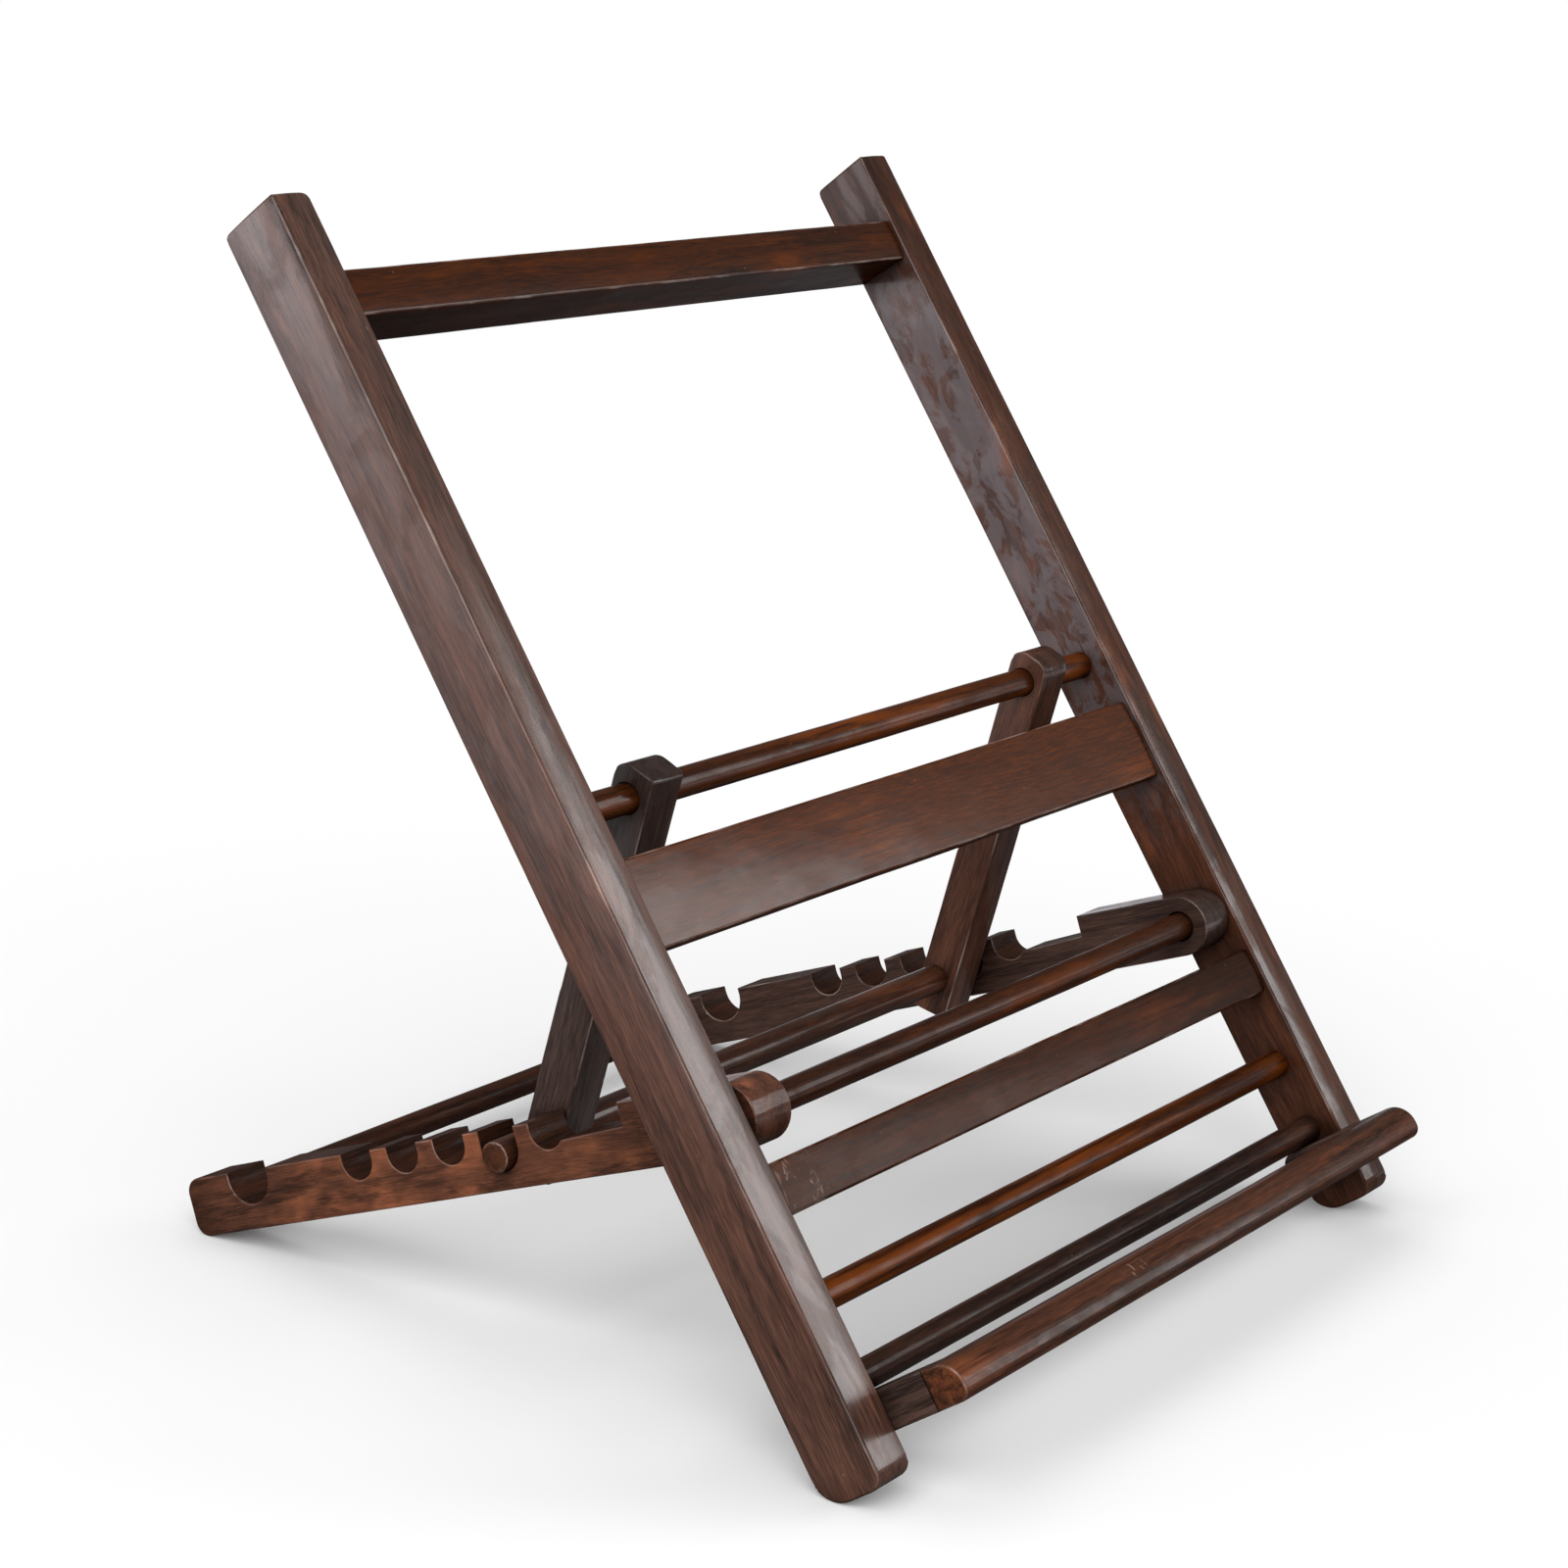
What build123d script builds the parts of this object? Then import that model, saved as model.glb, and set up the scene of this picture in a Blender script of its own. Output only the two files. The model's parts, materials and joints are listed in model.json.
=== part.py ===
from build123d import *
import math
import os

# Folding wooden book display stand: a ladder-like front frame that carries the book, two struts
# joined by a cross peg, and two notched bars joined by a rear rod. The peg drops into a pair of
# notches and sets how far the frame leans.
#
# Millimetres. +X is the reader's right, +Y points to the back and +Z is up. The origin is on the
# table, below the middle of the whole stand.
#
# Side profiles are drawn in the frame's own plane, in two coordinates:
#   u  runs up along the stiles, and is 0 a little above the ledge
#   n  runs forward, square to the frame, and is 0 on the stiles' front faces

os.makedirs("parts", exist_ok=True)

# ---------------------------------------------------------------- driving dimensions

# Stiles
frame_width = 300.0        # over the outer faces of both stiles
stile_width = 15.0         # along X
stile_depth = 21.0         # front to back
stile_top = 325.2
head_fall = 1.8            # how much lower the stile's end is at its back edge
stile_foot = -39.6
foot_back_radius = 9.0
foot_front_radius = 5.0
head_back_radius = 2.5
head_front_radius = 1.0
edge_ease = 0.8            # softened long edges of the larger pieces
small_ease = 0.5           # softened edges of the small ones
glue_gap = 0.05

# Rails and slats, each as its lower edge, upper edge and back face
rail_front = -2.0
top_rail_section = (289.5, 303.0, -stile_depth)
middle_slat_section = (106.0, 131.6, -9.0)
lower_slat_section = (30.8, 45.2, -9.0)
tenon_length = 9.0
tenon_shoulder = 1.8       # how much smaller a tenon is than its rail, on each side

# Round rods, all centred in the stiles' depth and glued into blind sockets
rod_n = -stile_depth / 2
rod_radius = 4.2
rod_socket = 9.0
page_rod_u = 8.8
foot_rod_u = -13.6
base_pivot_u = 59.9
strut_pivot_u = 148.1

# Ledge under the book
ledge_low = -29.0
ledge_top = -17.85
ledge_back = 14.0
ledge_front = 25.0
ledge_brow_radius = 7.0    # the nose is a bull nose, fuller on top than below
ledge_lip_radius = 3.3
arm_back = -17.0
arm_width = 12.0
arm_back_radius = 4.0
ledge_peg_radius = 1.5
ledge_peg_length = 12.0
ledge_peg_u = -23.4
arm_peg_n = (-14.0, -6.0)

# Notched bars, drawn along their own length from the base pivot towards the tip
bar_rise = 13.9            # degrees that a bar climbs from the frame's normal
bar_toe = 1.8              # degrees that each bar turns inwards, so that the tips stand closer
bar_inner_x = 116.3        # half of the gap between the bars, at the pivot
bar_shift = 2.5            # the base sits against the right stile, off the middle
bar_thickness = 15.8
bar_tip = 200.0
bar_under = 9.4            # below the bar's axis, and the radius of its round pivot end
bar_over = 7.7             # above the bar's axis
bar_tip_radius = 4.5
bar_step = 34.8            # where the full-height pivot end begins
recess_near_height = 2.9   # shallow recess between the pivot end and the notches
recess_far_height = 1.6
base_pivot_play = 0.6      # radial clearance round the base pivot rod

# Notches
notch_width = 11.2
notch_floor = -0.2
notch_pitch = 17.6
first_notch = 61.2         # the notch nearest to the pivot
notch_count = 5
used_notch = 1             # the notch, counted from zero at the pivot, that holds the peg
used_notch_width = 12.8    # worn wider and deeper than the others
used_notch_floor = -4.2
tip_notch = 175.0
tip_notch_width = 15.4
tip_notch_floor = -2.1

# Rear rod between the two bars
rear_rod_along = 190.5
rear_rod_height = 0.3
rear_rod_radius = 3.9

# Struts and their cross peg
strut_inner_x = 96.7       # half of the gap between the struts
strut_shift = 1.3          # the struts sit off the middle too
strut_thickness = 15.0
strut_front = 7.2          # from the pivot axis to the strut's front face
strut_head_back = 6.2      # and to its back face, at the head and at the foot
strut_foot_back = 5.4
strut_head_rise = 10.2     # from the pivot to the top of the strut
strut_brow_drop = 2.5      # how far the head's top falls towards the front
strut_foot_drop = 11.5     # from the peg to the strut's lower end
strut_round = 5.0
strut_sharp = 1.2
strut_foot_radius = 2.0
strut_pivot_play = 0.3
peg_radius = 4.5
peg_half_length = 131.5
peg_along = 79.05          # where the peg lies in the used notch, in the bar's own axes
peg_height = 0.4

# ---------------------------------------------------------------- worked-out positions

inner_x = frame_width / 2 - stile_width
frame_rods = (page_rod_u, foot_rod_u, base_pivot_u, strut_pivot_u)
toe_cosine = math.cos(math.radians(bar_toe))
toe_sine = math.sin(math.radians(bar_toe))


def bar_point(along, height):
    """The (u, n) of a point given in a notched bar's own axes."""
    rise = math.radians(bar_rise)
    reach = along * toe_cosine
    u = base_pivot_u + reach * math.sin(rise) + height * math.cos(rise)
    n = rod_n - reach * math.cos(rise) + height * math.sin(rise)
    return u, n


peg_u, peg_n = bar_point(peg_along, peg_height)
strut_length = math.hypot(peg_u - strut_pivot_u, peg_n - rod_n)
strut_angle = math.degrees(math.atan2(peg_n - rod_n, peg_u - strut_pivot_u))

# The frame leans so that its rounded feet and the bars' rounded tips rest on the same table.
foot_centre = (stile_foot + foot_back_radius, foot_back_radius - stile_depth)
outer_tip = bar_tip - bar_tip_radius + bar_thickness * toe_sine / toe_cosine
tip_centre = bar_point(outer_tip, bar_tip_radius - bar_under)
du = foot_centre[0] - tip_centre[0]
dn = foot_centre[1] - tip_centre[1]
radius_step = foot_back_radius - bar_tip_radius
lean = math.atan2(du, dn) + math.acos(radius_step / math.hypot(du, dn))


def world(u, n):
    """The Y and Z that a (u, n) step makes."""
    y = u * math.cos(lean) - n * math.sin(lean)
    z = u * math.sin(lean) + n * math.cos(lean)
    return y, z


# The origin is moved to the table, midway between the ledge's nose and the bars' tips.
table_z = world(*foot_centre)[1] - foot_back_radius
upper_tip_centre = bar_point(outer_tip, bar_over - bar_tip_radius)
back_y = world(*upper_tip_centre)[0] + bar_tip_radius
lip_centre = (ledge_low + ledge_lip_radius, ledge_front - ledge_lip_radius)
front_y = world(*lip_centre)[0] - ledge_lip_radius
middle_y = (front_y + back_y) / 2


def side_plane(x, u=0, n=0, angle=0):
    """A drawing plane facing +X, centred on (u, n), its first axis turned from u by the angle."""
    turn = math.radians(angle)
    centre_y, centre_z = world(u, n)
    step_y, step_z = world(math.cos(turn), math.sin(turn))
    origin = (x, centre_y - middle_y, centre_z - table_z)
    return Plane(origin=origin, x_dir=(0, step_y, step_z), z_dir=(1, 0, 0))


def bar_plane(side):
    """A notched bar's inner face: first axis along it from its pivot, second towards its notches."""
    straight = side_plane(bar_shift + side * bar_inner_x, base_pivot_u, rod_n, bar_rise - 90)
    along = straight.x_dir * toe_cosine - straight.z_dir * (side * toe_sine)
    outward = straight.z_dir * toe_cosine + straight.x_dir * (side * toe_sine)
    return Plane(origin=straight.origin, x_dir=along, z_dir=outward)


def strut_plane(side):
    """A strut's inner face: first axis down along it from its pivot, second towards its back."""
    return side_plane(strut_shift + side * strut_inner_x, strut_pivot_u, rod_n, strut_angle)


def front_plane(n):
    """A drawing plane facing forward at n, in X and u."""
    centre_y, centre_z = world(0, n)
    step_y, step_z = world(0, 1)
    origin = (0, centre_y - middle_y, centre_z - table_z)
    return Plane(origin=origin, x_dir=(1, 0, 0), z_dir=(0, step_y, step_z))


def round_corner(sketch, end, face, radius):
    """Rounds one corner: end picks the lowest or highest first axis, face the second axis."""
    group = sketch.vertices().group_by(Axis.X)[end]
    fillet(group.sort_by(Axis.Y)[face], radius)


def ease_sides(part, radius):
    """Softens every edge of the two faces that look along X."""
    for end in (0, -1):
        fillet(part.faces().sort_by(Axis.X)[end].edges(), radius)


def finish(part, label):
    part.part.label = label
    export_step(part.part, f"parts/{label}.step")


# ---------------------------------------------------------------- front frame

def rail_rectangle(section, shrink):
    low, high, back = section
    with Locations(((low + high) / 2, (back + rail_front) / 2)):
        Rectangle(high - low - 2 * shrink, rail_front - back - 2 * shrink)


def make_stile(side, label):
    """One upright. side is -1 for the left one and 1 for the right one."""
    inner_face = side_plane(side * inner_x)
    with BuildPart() as stile:
        with BuildSketch(inner_face) as outline:
            with BuildLine():
                Polyline(
                    (stile_foot, -stile_depth),
                    (stile_foot, 0),
                    (stile_top, 0),
                    (stile_top - head_fall, -stile_depth),
                    close=True,
                )
            make_face()
            round_corner(outline, 0, 0, foot_back_radius)
            round_corner(outline, 0, -1, foot_front_radius)
            fillet(outline.vertices().sort_by(Axis.X)[-2], head_back_radius)
            fillet(outline.vertices().sort_by(Axis.X)[-1], head_front_radius)
        extrude(amount=side * stile_width)
        ease_sides(stile, edge_ease)
        # Mortises for the rails and sockets for the rods
        with BuildSketch(inner_face):
            for section in (top_rail_section, middle_slat_section, lower_slat_section):
                rail_rectangle(section, tenon_shoulder - glue_gap)
            with Locations(*[(u, rod_n) for u in frame_rods]):
                Circle(rod_radius + glue_gap)
        extrude(amount=side * (rod_socket + glue_gap), mode=Mode.SUBTRACT)
        with BuildSketch(inner_face):
            with Locations(*[(ledge_peg_u, n) for n in arm_peg_n]):
                Circle(ledge_peg_radius + glue_gap)
        extrude(amount=side * (ledge_peg_length / 2 + glue_gap), mode=Mode.SUBTRACT)
    finish(stile, label)


def make_rail(section, label):
    """A rail between the stiles, with a tenon at each end."""
    with BuildPart() as rail:
        with BuildSketch(side_plane(glue_gap - inner_x)):
            rail_rectangle(section, 0)
        extrude(amount=2 * (inner_x - glue_gap))
        fillet(rail.edges().filter_by(Axis.X), edge_ease)
        with BuildSketch(side_plane(-inner_x - tenon_length)):
            rail_rectangle(section, tenon_shoulder)
        extrude(amount=2 * (inner_x + tenon_length))
    finish(rail, label)


def make_rod(u, n, radius, half_length, label, middle_x=0):
    """A round rod along X."""
    with BuildPart() as rod:
        with BuildSketch(side_plane(middle_x - half_length, u, n)):
            Circle(radius)
        extrude(amount=2 * half_length)
        chamfer(rod.edges(), small_ease)
    finish(rod, label)


make_stile(-1, "left_stile")
make_stile(1, "right_stile")
make_rail(top_rail_section, "top_rail")
make_rail(middle_slat_section, "middle_slat")
make_rail(lower_slat_section, "lower_slat")
make_rod(page_rod_u, rod_n, rod_radius, inner_x + rod_socket, "page_rod")
make_rod(foot_rod_u, rod_n, rod_radius, inner_x + rod_socket, "foot_rod")
make_rod(base_pivot_u, rod_n, rod_radius, inner_x + rod_socket, "base_pivot_rod")
make_rod(strut_pivot_u, rod_n, rod_radius, inner_x + rod_socket, "strut_pivot_rod")

# ---------------------------------------------------------------- ledge

forward = Axis((0, 0, 0), (0, -math.sin(lean), math.cos(lean)))


def arm_middle_x(side):
    return side * (inner_x - glue_gap - arm_width / 2)


def make_ledge_arm(side, label):
    """A short arm glued to a stile's inner face, under the foot rod."""
    outer_face = side_plane(side * (inner_x - glue_gap))
    with BuildPart() as arm:
        with BuildSketch(outer_face) as outline:
            middle = ((ledge_low + ledge_top) / 2, (arm_back + ledge_back - glue_gap) / 2)
            with Locations(middle):
                Rectangle(ledge_top - ledge_low, ledge_back - glue_gap - arm_back)
            round_corner(outline, 0, 0, arm_back_radius)
            round_corner(outline, -1, 0, arm_back_radius)
        extrude(amount=-side * arm_width)
        fillet(arm.edges().filter_by(forward), small_ease)
        with BuildSketch(outer_face):
            with Locations(*[(ledge_peg_u, n) for n in arm_peg_n]):
                Circle(ledge_peg_radius + glue_gap)
        extrude(amount=-side * (ledge_peg_length / 2 + glue_gap), mode=Mode.SUBTRACT)
        with BuildSketch(front_plane(ledge_back - glue_gap)):
            with Locations((arm_middle_x(side), ledge_peg_u)):
                Circle(ledge_peg_radius + glue_gap)
        extrude(amount=-ledge_peg_length / 2, mode=Mode.SUBTRACT)
    finish(arm, label)


make_ledge_arm(-1, "left_ledge_arm")
make_ledge_arm(1, "right_ledge_arm")

with BuildPart() as ledge_bar:
    with BuildSketch(side_plane(glue_gap - inner_x)) as ledge_outline:
        with Locations(((ledge_low + ledge_top) / 2, (ledge_back + ledge_front) / 2)):
            Rectangle(ledge_top - ledge_low, ledge_front - ledge_back)
        round_corner(ledge_outline, 0, -1, ledge_lip_radius)
        round_corner(ledge_outline, -1, -1, ledge_brow_radius)
    extrude(amount=2 * (inner_x - glue_gap))
    ease_sides(ledge_bar, edge_ease)
    with BuildSketch(front_plane(ledge_back)):
        with Locations(*[(arm_middle_x(side), ledge_peg_u) for side in (-1, 1)]):
            Circle(ledge_peg_radius + glue_gap)
    extrude(amount=ledge_peg_length / 2 + glue_gap, mode=Mode.SUBTRACT)
finish(ledge_bar, "ledge_bar")

with BuildPart() as ledge_arm_pegs:
    for side in (-1, 1):
        with BuildSketch(side_plane(side * (inner_x - ledge_peg_length / 2))):
            with Locations(*[(ledge_peg_u, n) for n in arm_peg_n]):
                Circle(ledge_peg_radius)
        extrude(amount=side * ledge_peg_length)
finish(ledge_arm_pegs, "ledge_arm_pegs")

with BuildPart() as ledge_bar_pegs:
    with BuildSketch(front_plane(ledge_back - ledge_peg_length / 2)):
        with Locations(*[(arm_middle_x(side), ledge_peg_u) for side in (-1, 1)]):
            Circle(ledge_peg_radius)
    extrude(amount=ledge_peg_length)
finish(ledge_bar_pegs, "ledge_bar_pegs")

# ---------------------------------------------------------------- notched base


def cut_notch(along, width, floor):
    """A round-bottomed notch, open at the top of the bar."""
    radius = width / 2
    with Locations((along, floor + radius)):
        Circle(radius, mode=Mode.SUBTRACT)
        Rectangle(width, 2 * bar_over, align=(Align.CENTER, Align.MIN), mode=Mode.SUBTRACT)


rear_rod_point = bar_point(rear_rod_along, rear_rod_height)
rear_rod_half = bar_inner_x - rear_rod_along * toe_sine + rod_socket


def make_notched_bar(side, label):
    """One notched bar, with its pivot hole and the socket of the rear rod."""
    inner_face = bar_plane(side)
    with BuildPart() as bar:
        with BuildSketch(inner_face) as outline:
            with BuildLine():
                Polyline(
                    (0, -bar_under),
                    (bar_tip, -bar_under),
                    (bar_tip, bar_over),
                    (first_notch, bar_over),
                    (first_notch, recess_far_height),
                    (bar_step, recess_near_height),
                    (bar_step, bar_under),
                    (0, bar_under),
                )
                ThreePointArc((0, bar_under), (-bar_under, 0), (0, -bar_under))
            make_face()
            round_corner(outline, -1, 0, bar_tip_radius)
            round_corner(outline, -1, -1, bar_tip_radius)
            for index in range(notch_count):
                along = first_notch + index * notch_pitch
                if index == used_notch:
                    cut_notch(along, used_notch_width, used_notch_floor)
                else:
                    cut_notch(along, notch_width, notch_floor)
            cut_notch(tip_notch, tip_notch_width, tip_notch_floor)
        extrude(amount=side * bar_thickness)
        ease_sides(bar, small_ease)
        # Both holes run along X, not square to the bar
        with BuildSketch(side_plane(0, base_pivot_u, rod_n)):
            Circle(rod_radius + base_pivot_play)
        extrude(amount=side * inner_x, mode=Mode.SUBTRACT)
        with BuildSketch(side_plane(bar_shift, *rear_rod_point)):
            Circle(rear_rod_radius + glue_gap)
        extrude(amount=side * (rear_rod_half + glue_gap), mode=Mode.SUBTRACT)
    finish(bar, label)


make_notched_bar(-1, "left_notched_bar")
make_notched_bar(1, "right_notched_bar")
make_rod(*rear_rod_point, rear_rod_radius, rear_rod_half, "rear_rod", bar_shift)

# ---------------------------------------------------------------- struts


def make_strut(side, front_radius, label):
    """One strut. Its head is rounded at the back and has its own radius at the front."""
    inner_face = strut_plane(side)
    foot = strut_length + strut_foot_drop
    with BuildPart() as strut:
        with BuildSketch(inner_face) as outline:
            with BuildLine():
                Polyline(
                    (-strut_head_rise, strut_head_back),
                    (strut_brow_drop - strut_head_rise, -strut_front),
                    (foot, -strut_front),
                    (foot, strut_foot_back),
                    close=True,
                )
            make_face()
            round_corner(outline, -1, 0, strut_foot_radius)
            round_corner(outline, -1, -1, strut_foot_radius)
            heads = outline.vertices().sort_by(Axis.X)
            fillet(heads[1], front_radius)
            fillet(outline.vertices().sort_by(Axis.X)[0], strut_round)
        extrude(amount=side * strut_thickness)
        ease_sides(strut, small_ease)
        with BuildSketch(inner_face):
            Circle(rod_radius + strut_pivot_play)
            with Locations((strut_length, 0)):
                Circle(peg_radius + glue_gap)
        extrude(amount=side * strut_thickness, mode=Mode.SUBTRACT)
    finish(strut, label)


make_strut(-1, strut_sharp, "left_strut")
make_strut(1, strut_round, "right_strut")
make_rod(peg_u, peg_n, peg_radius, peg_half_length, "strut_peg", strut_shift)
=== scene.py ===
import json
import math
from types import SimpleNamespace

import bmesh
import bpy
from mathutils import Matrix, Vector, noise


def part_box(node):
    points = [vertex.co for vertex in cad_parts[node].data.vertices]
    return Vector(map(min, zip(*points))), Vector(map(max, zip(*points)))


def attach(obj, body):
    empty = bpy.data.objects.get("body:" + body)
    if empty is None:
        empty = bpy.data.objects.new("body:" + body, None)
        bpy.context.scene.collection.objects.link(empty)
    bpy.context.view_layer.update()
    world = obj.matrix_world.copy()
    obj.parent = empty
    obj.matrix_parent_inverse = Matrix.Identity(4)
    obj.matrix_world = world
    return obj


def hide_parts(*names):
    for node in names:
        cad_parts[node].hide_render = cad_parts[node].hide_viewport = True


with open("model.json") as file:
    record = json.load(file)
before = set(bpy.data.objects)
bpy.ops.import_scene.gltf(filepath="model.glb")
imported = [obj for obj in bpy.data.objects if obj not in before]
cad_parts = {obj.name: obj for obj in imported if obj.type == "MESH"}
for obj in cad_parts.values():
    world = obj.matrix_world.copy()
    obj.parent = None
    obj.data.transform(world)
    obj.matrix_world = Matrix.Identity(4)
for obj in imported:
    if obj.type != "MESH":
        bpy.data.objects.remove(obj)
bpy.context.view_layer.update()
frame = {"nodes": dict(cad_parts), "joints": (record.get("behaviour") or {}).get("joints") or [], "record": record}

MM = 0.001

# ---------------------------------------------------------------- directions of the wood

X_AXIS = Vector((1, 0, 0))
joints = {joint["name"]: Vector(joint["pos_m"]) for joint in frame["joints"]}
FORWARD = Vector(frame["record"]["mounts"][0]["axis"]).normalized()   # square to the frame
UP = FORWARD.cross(X_AXIS)                                            # up along the stiles


def middle(node):
    low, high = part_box(node)
    return (low + high) / 2


def end_point(node, direction):
    """The middle of a stick's end, on the side it points to."""
    reach = max(v.co.dot(direction) for v in frame["nodes"][node].data.vertices)
    centre = middle(node)
    return centre + direction * (reach - centre.dot(direction))


def in_side_view(vector):
    return Vector((0, vector.y, vector.z)).normalized()


BAR = in_side_view(middle("rear_rod") - joints["base_swing"])
BAR_OVER = X_AXIS.cross(BAR)
STRUT = in_side_view(middle("strut_peg") - joints["strut_swing"])
STRUT_OVER = STRUT.cross(X_AXIS)

# ---------------------------------------------------------------- meshes

LENGTH_STEP = 5 * MM      # a stick is cut this often along its grain
FINE = 2.3 * MM           # and this often across it
SLAT_STEP = 3.5 * MM      # or this often through a thin slat
FACE_SKIN = 0.9 * MM      # how deep under a face its softened edges still belong to it
CAMBER = 0.42 * MM        # how far a rubbed face drops at its long edges
WORN_CORNER = 4.0 * MM    # radius of the near stile's worn top corner
CORNER_STEPS = 7
WANDER = 0.16 * MM        # slow bow of hand-made sticks
WANDER_WAVES = 14.0       # its waves in a metre
RIPPLE = 0.045 * MM       # short unevenness of hand-planed faces
RIPPLE_WAVES = 85.0
RIPPLE_SHIFT = Vector((3.1, 7.7, 1.9))
NOISE_SEED = 5
SHARP_EDGE = math.radians(32)
ON_PLANE = 1e-7
SAME_POINT = 1e-6

noise.seed_set(NOISE_SEED)     # without a seed, noise vectors start from the clock


def uneven(point):
    """How far a point of the stand strays from true, the same for every piece so that joints stay shut."""
    slow = noise.noise_vector(point * WANDER_WAVES)
    short = noise.noise_vector(point * RIPPLE_WAVES + RIPPLE_SHIFT)
    return slow * WANDER + short * RIPPLE


def cut(bm, direction, at):
    """Adds edges where a plane square to a direction passes through the mesh."""
    everything = bm.verts[:] + bm.edges[:] + bm.faces[:]
    bmesh.ops.bisect_plane(bm, geom=everything, dist=ON_PLANE,
                           plane_co=direction * at, plane_no=direction)


def slice_along(bm, direction, step):
    """Cuts the mesh across a direction every step, so that it can bend and ripple."""
    reach = [v.co.dot(direction) for v in bm.verts]
    low, high = min(reach), max(reach)
    count = int((high - low) / step)
    for i in range(1, count + 1):
        cut(bm, direction, low + (high - low) * i / (count + 1))


def round_off(bm, first, second, radius):
    """Wears the corner that lies farthest along two directions down to a radius."""
    a = max(v.co.dot(first) for v in bm.verts) - radius
    b = max(v.co.dot(second) for v in bm.verts) - radius
    for i in range(CORNER_STEPS):
        rise = radius * math.sin(math.radians(90) * i / CORNER_STEPS)
        cut(bm, first, a + rise)
        cut(bm, second, b + rise)
    for v in bm.verts:
        p, q = v.co.dot(first) - a, v.co.dot(second) - b
        far = math.hypot(p, q)
        if p > 0 and q > 0 and far > radius:
            v.co += (first * p + second * q) * (radius / far - 1)


def crown(bm, outward, across):
    """Rubs the face that looks outward down towards its two long edges."""
    face = max(v.co.dot(outward) for v in bm.verts)
    skin = [v for v in bm.verts if v.co.dot(outward) > face - FACE_SKIN]
    reach = [v.co.dot(across) for v in skin]
    centre, half = (max(reach) + min(reach)) / 2, (max(reach) - min(reach)) / 2
    for v in skin:
        share = (v.co.dot(across) - centre) / half
        v.co -= outward * CAMBER * share * share


def refined(node, body, grain, cuts, crowns, corners):
    """A finer, slightly uneven copy of a CAD node that is shown in its place."""
    bm = bmesh.new()
    bm.from_mesh(frame["nodes"][node].data)
    bmesh.ops.remove_doubles(bm, verts=bm.verts[:], dist=SAME_POINT)
    slice_along(bm, grain, LENGTH_STEP)
    for direction, step in cuts:
        slice_along(bm, direction, step)
    for first, second in corners:
        round_off(bm, first, second, WORN_CORNER)
    for outward, across in crowns:
        crown(bm, outward, across)
    for v in bm.verts:
        v.co += uneven(v.co)
    bmesh.ops.dissolve_degenerate(bm, edges=bm.edges[:], dist=ON_PLANE)
    bmesh.ops.triangulate(bm, faces=[f for f in bm.faces if len(f.verts) > 4])
    bmesh.ops.recalc_face_normals(bm, faces=bm.faces[:])
    mesh = bpy.data.meshes.new(node + "_wood")
    bm.to_mesh(mesh)
    bm.free()
    mesh.shade_smooth()
    mesh.set_sharp_from_angle(angle=SHARP_EDGE)
    piece = bpy.data.objects.new(node + "_wood", mesh)
    bpy.context.scene.collection.objects.link(piece)
    piece.modifiers.new("weighted", "WEIGHTED_NORMAL").keep_sharp = True
    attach(piece, body)
    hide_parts(node)
    return piece


# ---------------------------------------------------------------- shader nodes

class Nodes:
    """Short calls that add shader nodes to one material and join them up."""

    def __init__(self, material):
        material.use_nodes = True
        self.tree = material.node_tree
        self.tree.nodes.clear()

    def put(self, socket, value):
        if isinstance(value, bpy.types.NodeSocket):
            self.tree.links.new(value, socket)
        else:
            socket.default_value = value

    def add(self, kind, inputs=None, **settings):
        node = self.tree.nodes.new(kind)
        for key, value in settings.items():
            setattr(node, key, value)
        for key, value in (inputs or {}).items():
            self.put(node.inputs[key], value)
        return node

    def math(self, operation, a, b=0.0, clamp=False):
        node = self.add("ShaderNodeMath", {0: a, 1: b}, operation=operation, use_clamp=clamp)
        return node.outputs[0]

    def product(self, first, *others):
        for other in others:
            first = self.math("MULTIPLY", first, other)
        return first

    def vector(self, operation, a, b=(0, 0, 0)):
        node = self.add("ShaderNodeVectorMath", {0: a, 1: b}, operation=operation)
        return node.outputs["Value" if operation in ("DOT_PRODUCT", "LENGTH") else "Vector"]

    def stretch(self, place, along, across):
        """Scales a place's first axis by one number and its other two by another."""
        return self.vector("MULTIPLY", place, (along, across, across))

    def distance(self, place, point):
        return self.vector("LENGTH", self.vector("SUBTRACT", place, point))

    def noise(self, place, detail=3.0, rough=0.55, distortion=0.0, scale=1.0, output="Fac"):
        node = self.add("ShaderNodeTexNoise", {
            "Vector": place, "Scale": scale, "Detail": detail,
            "Roughness": rough, "Distortion": distortion})
        return node.outputs[output]

    def ramp(self, value, low, high, to_low=0.0, to_high=1.0):
        node = self.add("ShaderNodeMapRange", {
            "Value": value, "From Min": low, "From Max": high,
            "To Min": to_low, "To Max": to_high}, interpolation_type="SMOOTHSTEP")
        return node.outputs["Result"]

    def mix(self, amount, a, b, blend="MIX"):
        node = self.add("ShaderNodeMix", {"Factor": amount}, data_type="RGBA", blend_type=blend)
        self.put(node.inputs[6], a)
        self.put(node.inputs[7], b)
        return node.outputs[2]


def colour(red, green, blue):
    """A linear colour from the 0 to 255 values that a screen shows."""
    def linear(value):
        share = value / 255
        return share / 12.92 if share <= 0.04045 else ((share + 0.055) / 1.055) ** 2.4
    return linear(red), linear(green), linear(blue), 1.0


def grey(level):
    return level, level, level, 1.0


# ---------------------------------------------------------------- rosewood

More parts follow.
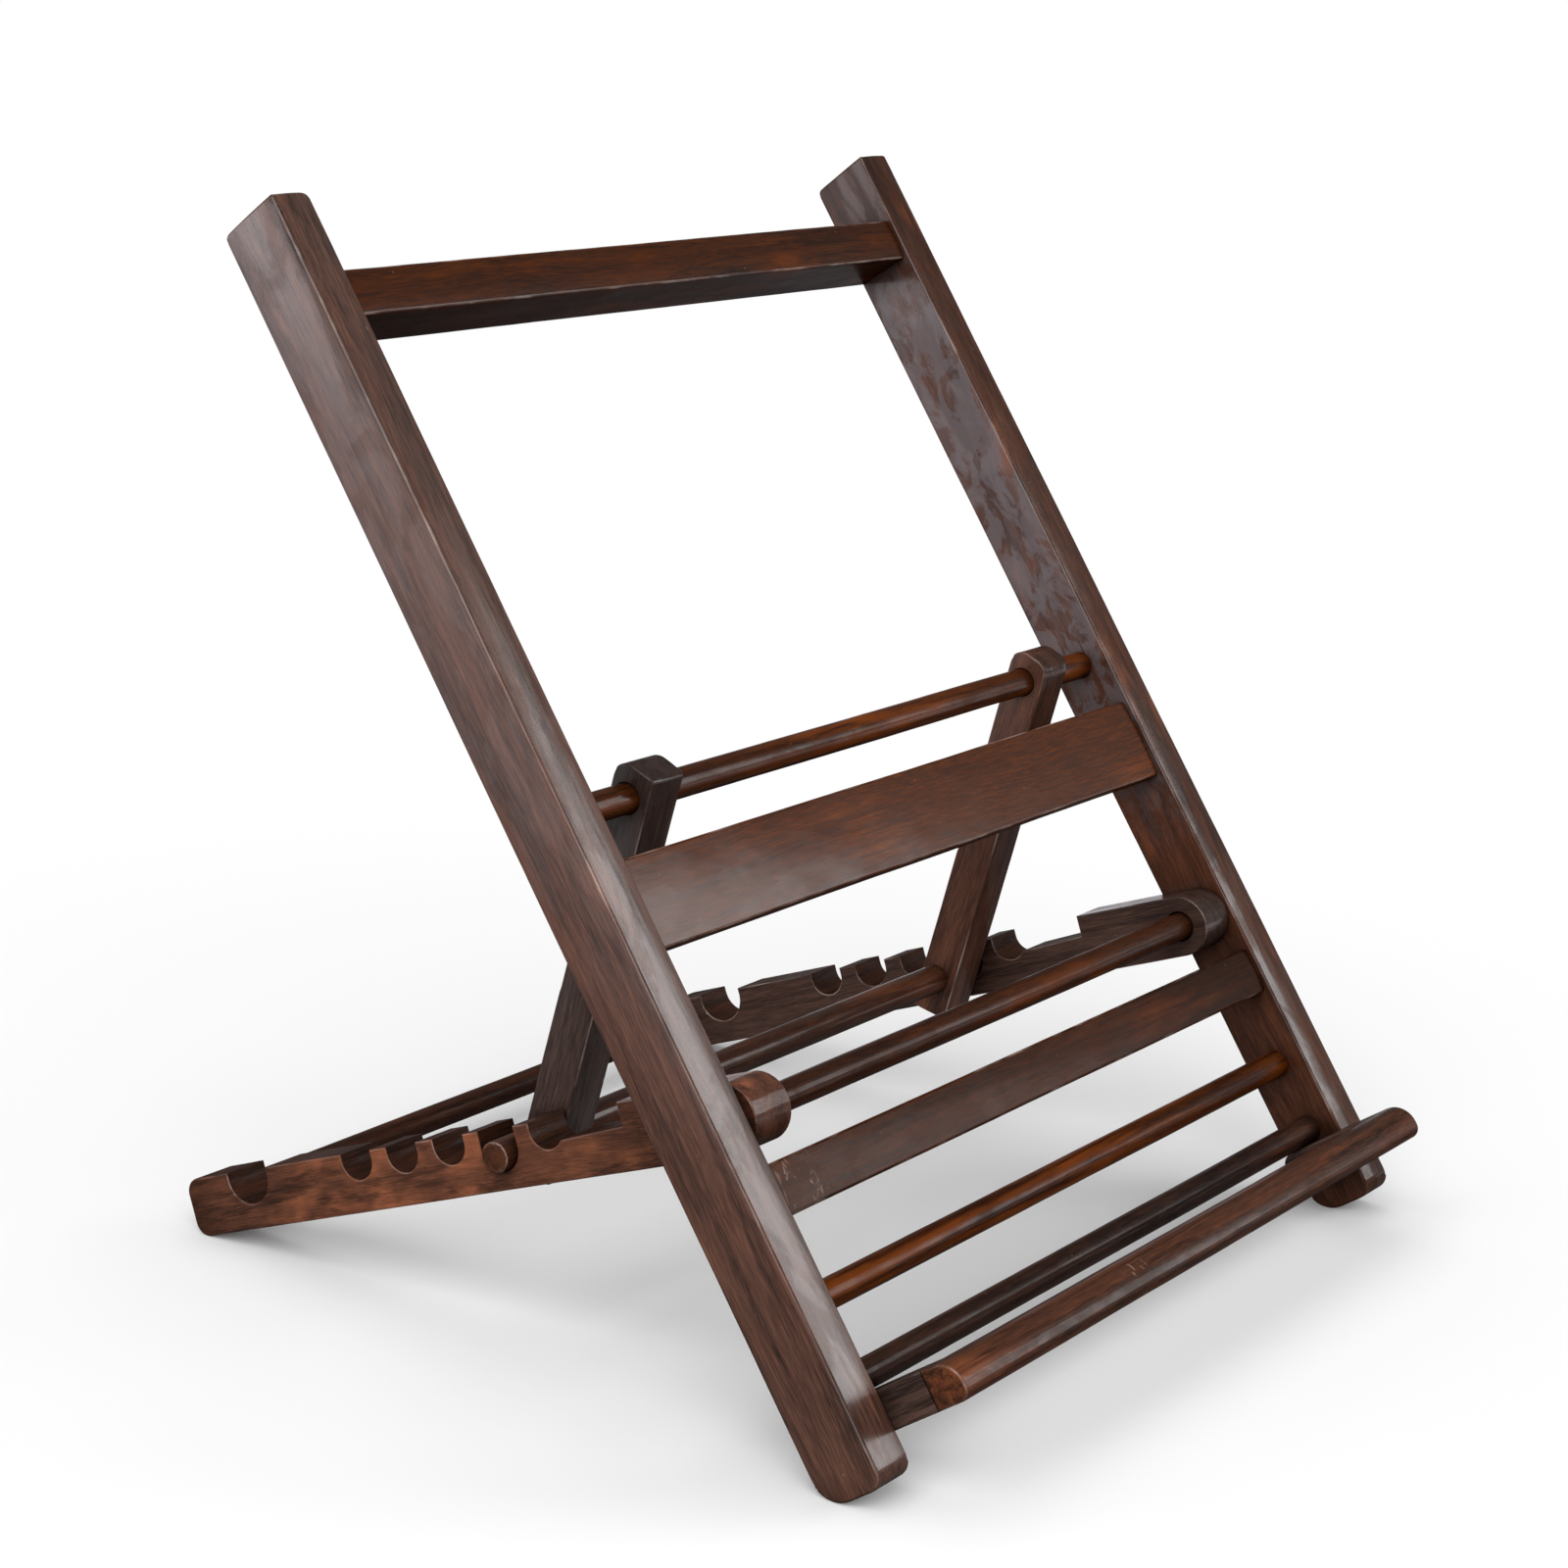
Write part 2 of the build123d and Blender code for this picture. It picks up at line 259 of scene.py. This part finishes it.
# black of the veins and pores, also the colour of painted shade
BLACK_VEIN_AND_SHADE = colour(20, 14, 12)
DARK_WOOD = colour(46, 27, 19)
RED_WOOD = colour(86, 47, 28)
ORANGE_WOOD = colour(148, 76, 32)
# pale colour of rubbed wood, also used as a painted highlight along rounded edges
PALE_WEAR_AND_HIGHLIGHT = colour(182, 158, 146)
# grey-violet of a painted sheen, standing in for lacquer that mirrors white light
PAINTED_SHEEN_GREY = (0.125, 0.105, 0.112, 1.0)

PLAIN_LOOK = dict(
    tone=0.5,            # lightens the wood
    colourful=0.96,      # strengthens its colour
    orange=0.3,          # warms it in patches
    veins=0.6,           # darkens its streaks
    figure=0.7,          # contrast of its growth layers
    lines=1.0,           # packs layers and streaks closer
    short=1.0,           # breaks them up along the grain
    gloss=0.7,           # strength of the lacquer
    rough=0.34,          # and how blurred it mirrors
    patches=0.5,         # mottles the lacquer
    worn=0.5,            # pales the edges with wear and a painted highlight
    rim=X_AXIS,          # square to the faces whose edges are rubbed and carry a painted highlight
    stain=None,          # point, radius and darkness of old polish
    scuff=None,          # point and radius of a scratched spot
    haze=None,           # point, radius and strength of a painted grey sheen on the faces the rim names
)


def along_grain(n, place, grain, seed):
    """The place turned so that its first axis follows the grain, and moved so that no two pieces match."""
    across = grain.cross(X_AXIS) if abs(grain.x) < 0.5 else FORWARD.copy()
    deep = grain.cross(across).normalized()
    turn = Matrix((grain, across, deep)).to_euler("XYZ")
    shift = (seed * 0.37, seed * 0.11, seed * 0.23)
    mapping = n.add("ShaderNodeMapping", {"Vector": place, "Rotation": turn, "Location": shift})
    return mapping.outputs["Vector"]


def grain_patterns(n, own, seed, look):
    """The noises of the wood and of its old lacquer, each from 0 to 1."""
    # The grain wanders slowly, and growth layers lie round a pith outside the stick
    slow = n.stretch(own, 5.0, 30.0)
    wander = n.vector("SUBTRACT", n.noise(slow, 2.0, output="Color"), (0.5, 0.5, 0.5))
    bent = n.vector("ADD", own, n.stretch(wander, 0.0, 0.011))
    pith = (0.0, seed * 0.11 - 0.027, seed * 0.23 + 0.034)
    layer = n.distance(n.stretch(bent, 0.02, 1.0), pith)
    along = n.add("ShaderNodeSeparateXYZ", {"Vector": own}).outputs["X"]
    ring_place = n.add("ShaderNodeCombineXYZ", {
        "X": n.math("MULTIPLY", layer, 420.0 * look.lines),
        "Y": n.math("MULTIPLY", along, 4.0 * look.short),
        "Z": seed * 1.7}).outputs["Vector"]
    streak_place = n.stretch(bent, 13.0 * look.short, 260.0 * look.lines)
    return SimpleNamespace(
        rings=n.noise(ring_place, 4.0, 0.62),
        streaks=n.noise(streak_place, 5.0, 0.6, 0.4),
        fibres=n.noise(n.stretch(bent, 120.0, 2600.0), 2.0, 0.6),
        pores=n.ramp(n.noise(n.stretch(bent, 210.0, 3400.0), 1.0, 0.5), 0.66, 0.74),
        patch=n.noise(n.stretch(own, 14.0 * look.short, 55.0), 3.0, 0.55),
        cloud=n.noise(n.stretch(own, 32.0, 75.0), 5.0, 0.62, 1.0),
        waves=n.noise(n.stretch(own, 45.0, 130.0), 2.0))


def wood_colour(n, grains, look):
    """Dark and red growth layers with orange patches, black veins, pale fibres and black pores."""
    half = 0.5 * look.figure
    wood = n.mix(n.ramp(grains.rings, 0.30, 0.68, 0.5 - half, 0.5 + half), DARK_WOOD, RED_WOOD)
    patch = n.ramp(grains.patch, 0.62 - 0.28 * look.orange, 0.86 - 0.20 * look.orange)
    warm = n.product(patch, min(1.0, 0.35 + look.orange))
    warm = n.product(warm, n.ramp(grains.streaks, 0.32, 0.62))
    wood = n.mix(warm, wood, ORANGE_WOOD)
    wood = n.mix(n.product(n.ramp(grains.streaks, 0.52, 0.40), look.veins), wood, BLACK_VEIN_AND_SHADE)
    wood = n.mix(n.product(n.ramp(grains.rings, 0.40, 0.27), look.veins), wood, BLACK_VEIN_AND_SHADE)
    wood = n.mix(n.ramp(grains.fibres, 0.35, 0.75, 0.0, 0.22), wood, ORANGE_WOOD, "SCREEN")
    wood = n.mix(n.product(grains.pores, 0.55), wood, BLACK_VEIN_AND_SHADE)
    toned = n.add("ShaderNodeHueSaturation", {
        "Saturation": look.colourful, "Value": 0.45 + look.tone * 1.1, "Color": wood})
    return toned.outputs["Color"]


def wear_and_edge_highlight(n, place, own, facing, look):
    """How far the surface is rubbed and lit: along its edges, where wear and a painted highlight mix, in flecks,
    and in one scuffed spot.
    """
    rounding = n.product(facing, 4.0, n.math("SUBTRACT", 1.0, facing))
    rubbed = n.ramp(n.noise(n.stretch(own, 60.0, 160.0), 4.0), 0.62 - 0.25 * look.worn, 0.72)
    # Rounded edges get a pale colour that is partly wear and partly a painted highlight
    edges = n.product(n.ramp(rounding, 0.25, 0.85), rubbed)
    edges = n.math("MULTIPLY", edges, look.worn, clamp=True)
    flecks = n.ramp(n.noise(place, 1.0, 0.4, scale=520.0), 0.79, 0.83)
    rubbed = n.math("MAXIMUM", edges, n.product(flecks, 0.35 * look.worn))
    if look.scuff:
        point, radius = look.scuff
        scratches = n.ramp(n.noise(n.stretch(own, 520.0, 230.0), 3.0, 0.6, 0.8), 0.57, 0.70)
        near = n.ramp(n.distance(place, point), 0.4 * radius, radius, 0.5, 0.0)
        rubbed = n.math("MAXIMUM", rubbed, n.product(scratches, near))
    return rubbed


def painted_sheen(n, place, own, facing, look):
    """How strongly a painted grey sheen covers a face, broken up by a fine crackle pattern."""
    point, radius, strength = look.haze
    crackle = n.noise(n.stretch(own, 85.0, 150.0), 6.0, 0.66, 0.5)
    near = n.ramp(n.distance(place, point), 0.6 * radius, radius, strength, 0.0)
    return n.product(near, n.ramp(crackle, 0.43, 0.53, 0.1, 1.0), n.ramp(facing, 0.5, 0.9))


def unstained(n, place, grains, look):
    """1 on clean wood, and less where old polish has turned dark."""
    if not look.stain:
        return 1.0
    point, radius, darkness = look.stain
    reach = n.math("ADD", n.distance(place, point), n.product(grains.patch, 0.6 * radius))
    return n.ramp(reach, 0.7 * radius, 1.6 * radius, 1 - darkness, 1.0)


def bump(n, height, strength, depth, normal=None):
    inputs = {"Strength": strength, "Distance": depth, "Height": height}
    if normal is not None:
        inputs["Normal"] = normal
    return n.add("ShaderNodeBump", inputs).outputs["Normal"]


def rosewood(name, grain, seed, **changes):
    """Lacquered rosewood whose grain runs along a direction. The changes are to PLAIN_LOOK."""
    look = SimpleNamespace(**{**PLAIN_LOOK, **changes})
    material = bpy.data.materials.new(name)
    n = Nodes(material)
    coordinates = n.add("ShaderNodeTexCoord")
    place = coordinates.outputs["Object"]
    own = along_grain(n, place, grain, seed)
    grains = grain_patterns(n, own, seed, look)
    outward = n.math("ABSOLUTE", n.vector("DOT_PRODUCT", coordinates.outputs["Normal"], look.rim))
    facing = n.math("POWER", outward, 2.0)

    base = wood_colour(n, grains, look)
    # Pale edges, flecks and scuff: wear, with a painted highlight along the rounded edges
    base = n.mix(n.product(wear_and_edge_highlight(n, place, own, facing, look), 0.75), base, PALE_WEAR_AND_HIGHLIGHT)
    # Painted sheen: a grey-violet patch mixed into the colour where the lacquer is meant to mirror light
    if look.haze:
        base = n.mix(painted_sheen(n, place, own, facing, look), base, PAINTED_SHEEN_GREY)

    # Painted shade: ambient occlusion darkens corners, notches and gaps between parts, and faces that look down
    # are darkened; stains of old polish darken too
    corner = n.add("ShaderNodeAmbientOcclusion", {"Distance": 11 * MM}, samples=6)
    open_air = n.ramp(corner.outputs["AO"], 0.30, 0.92, 0.12, 1.0)
    normal = n.add("ShaderNodeNewGeometry").outputs["Normal"]
    level = n.add("ShaderNodeSeparateXYZ", {"Vector": normal}).outputs["Z"]
    clean = unstained(n, place, grains, look)
    unshaded_and_unstained = n.product(open_air, n.ramp(level, -0.85, -0.25, 0.42, 1.0), clean)
    base = n.mix(unshaded_and_unstained, n.mix(0.25, BLACK_VEIN_AND_SHADE, base), base)

    # Lacquer: patchy gloss over the wood, thin on faces that look down
    polished = n.product(n.ramp(level, -0.75, -0.35, 0.12, 1.0), open_air,
                         n.math("ADD", 0.4, n.product(clean, 0.6)))
    mottle = n.ramp(grains.cloud, 0.42, 0.56, 1.0 - 0.9 * look.patches, 1.0)
    blur = n.math("ADD", look.rough, n.ramp(grains.cloud, 0.62, 0.36, 0.0, 0.24 * look.patches))
    blur = n.math("ADD", blur, n.ramp(grains.fibres, 0.3, 0.7, 0.0, 0.08))
    fine = bump(n, n.math("SUBTRACT", grains.fibres, grains.pores), 0.35, 0.08 * MM)
    shader = n.add("ShaderNodeBsdfPrincipled", {
        "Base Color": base, "Roughness": blur, "Specular IOR Level": n.product(polished, 0.06),
        "Coat Weight": n.product(polished, mottle, look.gloss),
        "Coat Roughness": look.rough * 0.45, "Coat IOR": 1.55,
        "Normal": bump(n, grains.waves, 0.55, 0.30 * MM, fine),
        "Coat Normal": bump(n, grains.waves, 0.35, 0.22 * MM)})
    n.add("ShaderNodeOutputMaterial", {"Surface": shader.outputs["BSDF"]})
    return material


# ---------------------------------------------------------------- the pieces

STILE_CUTS = ((X_AXIS, FINE), (FORWARD, FINE))
SLAT_CUTS = ((UP, FINE), (FORWARD, SLAT_STEP))
BAR_CUTS = ((X_AXIS, FINE), (BAR_OVER, FINE))
STRUT_CUTS = ((X_AXIS, FINE), (STRUT_OVER, FINE))
LEDGE_CUTS = ((UP, FINE), (FORWARD, FINE))

# Cambered faces: the way each looks, and the direction across it
LEFT_STILE_FACES = ((-X_AXIS, FORWARD), (FORWARD, X_AXIS), (-FORWARD, X_AXIS))
RIGHT_STILE_FACES = ((X_AXIS, FORWARD), (FORWARD, X_AXIS), (-FORWARD, X_AXIS))
SLAT_FACES = ((FORWARD, UP), (-FORWARD, UP))
BAR_FACES = ((X_AXIS, BAR_OVER), (-X_AXIS, BAR_OVER))
STRUT_FACES = ((X_AXIS, STRUT_OVER), (-X_AXIS, STRUT_OVER),
               (STRUT_OVER, X_AXIS), (-STRUT_OVER, X_AXIS))

WORN_CORNERS = {"left_stile": ((UP, X_AXIS),)}

# node, body, slot, grain, extra cuts, cambered faces, and the look of its wood
PIECES = (
    ("left_stile", "front_frame", "dark_rosewood", UP, STILE_CUTS, LEFT_STILE_FACES,
     dict(tone=0.60, orange=0.10, veins=0.5, gloss=1.0, patches=0.35, worn=0.5, lines=1.3,
          rough=0.46, figure=0.7, short=1.6, colourful=0.80)),
    ("right_stile", "front_frame", "dark_rosewood", UP, STILE_CUTS, RIGHT_STILE_FACES,
     dict(tone=0.34, orange=0.30, veins=0.4, gloss=0.75, patches=0.6, rough=0.34, short=2.5,
          haze=(middle("right_stile") + UP * 52 * MM, 118 * MM, 0.6),
          stain=(end_point("right_stile", UP), 45 * MM, 0.5))),
    ("top_rail", "front_frame", "dark_rosewood", X_AXIS, SLAT_CUTS, SLAT_FACES,
     dict(tone=0.10, orange=0.4, veins=0.45, gloss=0.35, worn=0.8, short=1.5, patches=0.2,
          figure=0.7, colourful=1.1, rim=FORWARD)),
    ("middle_slat", "front_frame", "dark_rosewood", X_AXIS, SLAT_CUTS, SLAT_FACES,
     dict(tone=0.40, orange=0.18, veins=0.2, gloss=0.5, patches=0.15, lines=2.2, figure=0.35,
          colourful=1.15, worn=0.6, rim=FORWARD)),
    ("lower_slat", "front_frame", "dark_rosewood", X_AXIS, SLAT_CUTS, SLAT_FACES,
     dict(tone=0.08, orange=0.4, veins=0.35, gloss=0.10, patches=0.2, lines=1.6, figure=0.6,
          colourful=1.3, worn=0.6, rim=FORWARD,
          stain=(end_point("lower_slat", X_AXIS), 90 * MM, 0.6),
          scuff=(end_point("lower_slat", -X_AXIS) + X_AXIS * 20 * MM, 14 * MM))),
    ("page_rod", "front_frame", "rod_rosewood", X_AXIS, (), (),
     dict(tone=0.16, orange=1.0, veins=0.6, gloss=0.2, short=0.7, colourful=1.35)),
    ("foot_rod", "front_frame", "rod_rosewood", X_AXIS, (), (),
     dict(tone=0.0, orange=0.15, veins=0.6, gloss=0.22, colourful=0.9)),
    ("base_pivot_rod", "front_frame", "rod_rosewood", X_AXIS, (), (),
     dict(tone=0.06, orange=0.5, veins=0.4, gloss=0.2, colourful=1.05)),
    ("strut_pivot_rod", "front_frame", "rod_rosewood", X_AXIS, (), (),
     dict(tone=0.12, orange=0.9, veins=0.4, gloss=0.3, colourful=1.35)),
    ("left_ledge_arm", "front_frame", "dark_rosewood", FORWARD, (), (),
     dict(tone=0.28, orange=0.1, veins=0.7, gloss=0.5, colourful=0.65)),
    ("right_ledge_arm", "front_frame", "dark_rosewood", FORWARD, (), (),
     dict(tone=0.28, orange=0.1, veins=0.7, gloss=0.5, colourful=0.65)),
    ("ledge_bar", "front_frame", "rod_rosewood", X_AXIS, LEDGE_CUTS, (),
     dict(tone=0.42, orange=0.40, veins=0.65, gloss=0.3, worn=0.8, lines=1.3,
          scuff=(middle("ledge_bar") - X_AXIS * 40 * MM + FORWARD * 5 * MM, 9 * MM))),
    ("left_notched_bar", "base_frame", "streaked_rosewood", BAR, BAR_CUTS, BAR_FACES,
     dict(tone=0.55, orange=0.7, veins=0.55, gloss=0.45, worn=0.7, lines=0.6, short=2.8,
          figure=0.8, colourful=0.9,
          stain=(end_point("left_notched_bar", BAR), 13 * MM, 0.6))),
    ("right_notched_bar", "base_frame", "streaked_rosewood", BAR, BAR_CUTS, BAR_FACES,
     dict(tone=0.28, orange=0.15, veins=0.5, gloss=0.6, worn=0.9, lines=1.4, colourful=0.7,
          stain=(end_point("right_notched_bar", -BAR), 26 * MM, 0.5))),
    ("rear_rod", "base_frame", "rod_rosewood", X_AXIS, (), (),
     dict(tone=0.0, orange=0.4, veins=0.5, gloss=0.1)),
    ("left_strut", "strut_frame", "dark_rosewood", STRUT, STRUT_CUTS, STRUT_FACES,
     dict(tone=0.30, orange=0.05, veins=0.4, gloss=0.9, worn=1.0, colourful=0.6,
          stain=(end_point("left_strut", -STRUT), 22 * MM, 0.8))),
    ("right_strut", "strut_frame", "dark_rosewood", STRUT, STRUT_CUTS, STRUT_FACES,
     dict(tone=0.64, orange=0.4, veins=0.35, gloss=0.8, worn=1.0, colourful=0.85,
          stain=(end_point("right_strut", -STRUT), 16 * MM, 0.7))),
    ("strut_peg", "strut_frame", "peg_wood", X_AXIS, (), (),
     dict(tone=0.26, orange=0.4, veins=0.5, gloss=0.5, worn=0.9)),
)

NOTCHED_BARS = ("left_notched_bar", "right_notched_bar")
# Painted shade for the insides of the notches and holes: very dark, dull wood
NOTCH_SHADE_LOOK = dict(tone=0.05, orange=0.1, gloss=0.15, rough=0.6, worn=0.5)
NOTCH_SEED = 40           # the notches' seeds start here
NOTCH_LIP = 1.0 * MM      # rounding at the bars' edges, which stays lacquered
HIDDEN_PEGS = ("ledge_arm_pegs", "ledge_bar_pegs")
HIDDEN_SEED = 30


def shade_notch_insides(bar, material):
    """Paints shade into the insides of the notches and holes of a bar by giving them a very dark, dull material.
    """
    mesh = bar.data
    mesh.materials.append(material)
    pivot = joints["base_swing"]
    heights = [(v.co - pivot).dot(BAR_OVER) for v in mesh.vertices]
    low, high = min(heights) + NOTCH_LIP, max(heights) - NOTCH_LIP - CAMBER
    tip = max((v.co - pivot).dot(BAR) for v in mesh.vertices) - 4 * NOTCH_LIP
    for face in mesh.polygons:
        place = face.center - pivot
        height, along = place.dot(BAR_OVER), place.dot(BAR)
        within = -high < along < tip and low < height < high
        round_end = along < 0 and math.hypot(height, along) > high
        looks_sideways = abs(face.normal.x) > 0.4
        if within and not round_end and not looks_sideways:
            face.material_index = 1


for seed, (node, body, slot, grain, cuts, faces, look) in enumerate(PIECES, 1):
    piece = refined(node, body, grain, cuts, faces, WORN_CORNERS.get(node, ()))
    piece.data.materials.append(rosewood(node + "_rosewood", grain, seed, **look))
    if node in NOTCHED_BARS:
        # The notch insides get a painted shade material
        notch_shade = rosewood(node + "_notches", X_AXIS, seed + NOTCH_SEED, **NOTCH_SHADE_LOOK)
        shade_notch_insides(piece, notch_shade)

for node in HIDDEN_PEGS:
    pegs = frame["nodes"][node]
    pegs.data.materials.clear()
    pegs.data.materials.append(rosewood(node + "_rosewood", X_AXIS, HIDDEN_SEED, tone=0.35))

# ---------------------------------------------------------------- studio

FLOOR_SIZE = 40
PAPER = grey(0.86)
WHITE = grey(1.0)
SWEEP = (0.12, 0.50)               # metres from the middle where the paper turns white
FLOOR_FOR_WOOD = grey(0.30)
FLOOR_FOR_LACQUER = grey(0.10)
FAR_FLOOR_FOR_LACQUER = (1.25, 1.22, 1.30, 1.0)
LACQUER_SWEEP = (0.30, 0.95)
ROOM = 0.55                        # light from all around
SEEN_ROOM = 0.6                    # what the camera sees more of it
LACQUER_ROOM = 0.40                # what the lacquer mirrors less of it


def floor_material():
    """Pale paper that the lacquer sees as darker close to the stand than far from it."""
    material = bpy.data.materials.new("floor")
    n = Nodes(material)
    reach = n.vector("LENGTH", n.add("ShaderNodeTexCoord").outputs["Object"])
    path = n.add("ShaderNodeLightPath")
    paper = n.add("ShaderNodeBsdfDiffuse", {"Color": PAPER})
    white = n.add("ShaderNodeEmission", {"Color": WHITE, "Strength": 1.0})
    sweep = n.add("ShaderNodeMixShader", {
        0: n.ramp(reach, *SWEEP), 1: paper.outputs[0], 2: white.outputs[0]})
    lacquer_sees = n.mix(n.ramp(reach, *LACQUER_SWEEP), FLOOR_FOR_LACQUER, FAR_FLOOR_FOR_LACQUER)
    others_see = n.mix(path.outputs["Is Glossy Ray"], FLOOR_FOR_WOOD, lacquer_sees)
    seen = n.add("ShaderNodeEmission", {"Color": others_see, "Strength": 1.0})
    both = n.add("ShaderNodeMixShader", {
        0: path.outputs["Is Camera Ray"], 1: seen.outputs[0], 2: sweep.outputs[0]})
    n.add("ShaderNodeOutputMaterial", {"Surface": both.outputs[0]})
    material.cycles.emission_sampling = "NONE"
    return material


bpy.ops.mesh.primitive_plane_add(size=FLOOR_SIZE, location=(0, 0, 0))
floor = bpy.context.object
floor.name = "floor"
floor.data.materials.append(floor_material())

world = bpy.data.worlds.new("studio")
bpy.context.scene.world = world
world.cycles.sampling_method = "NONE"      # lets the lacquer see a darker room than the wood
sky = Nodes(world)
ray = sky.add("ShaderNodeLightPath").outputs
strength = sky.math("ADD", ROOM, sky.math("MULTIPLY", ray["Is Camera Ray"], SEEN_ROOM))
strength = sky.math("SUBTRACT", strength, sky.math("MULTIPLY", ray["Is Glossy Ray"], LACQUER_ROOM))
background = sky.add("ShaderNodeBackground", {"Color": WHITE, "Strength": strength})
sky.add("ShaderNodeOutputWorld", {"Surface": background.outputs[0]})

LIT_POINT = Vector((0, 0, 0.15))


def softbox(name, direction, distance, size, power, tint=(1, 1, 1)):
    """A soft rectangular light that shines on the stand from a direction."""
    data = bpy.data.lights.new(name, "AREA")
    data.shape = "RECTANGLE"
    data.size, data.size_y = size
    data.energy = power
    data.color = tint
    light = bpy.data.objects.new(name, data)
    bpy.context.scene.collection.objects.link(light)
    away = Vector(direction).normalized()
    light.location = LIT_POINT + away * distance
    light.rotation_euler = away.to_track_quat("Z", "Y").to_euler()


softbox("front_right", (0.72, -0.65, 0.36), 1.9, (0.75, 0.95), 10.0)
softbox("back_left", (-0.66, 0.75, 0.06), 1.9, (1.0, 0.5), 5.5, (0.98, 0.97, 1.0))
softbox("key", (-1.1, -0.35, 0.85), 2.2, (2.2, 2.0), 44)
softbox("overhead", (0.25, 0.35, 1.0), 2.2, (2.0, 1.6), 7)

# The camera stands where the photo was taken from
EYE = Vector((-0.90465, -0.55566, 0.40942))
VIEW = Vector((0.81748, 0.51970, -0.24826)).normalized()
NEARLY_UP = Vector((0.16859, 0.19625, 0.96594))
PICTURE_UP = (NEARLY_UP - VIEW * NEARLY_UP.dot(VIEW)).normalized()
PICTURE_RIGHT = VIEW.cross(PICTURE_UP)
SENSOR_MM = 36.0
LENS_MM = 87.34

camera_data = bpy.data.cameras.new("camera")
camera_data.sensor_width = SENSOR_MM
camera_data.lens = LENS_MM
camera = bpy.data.objects.new("camera", camera_data)
bpy.context.scene.collection.objects.link(camera)
axes = Matrix((PICTURE_RIGHT, PICTURE_UP, -VIEW)).transposed().to_4x4()
camera.matrix_world = Matrix.Translation(EYE) @ axes
bpy.context.scene.camera = camera
bpy.context.scene.view_settings.view_transform = "Standard"
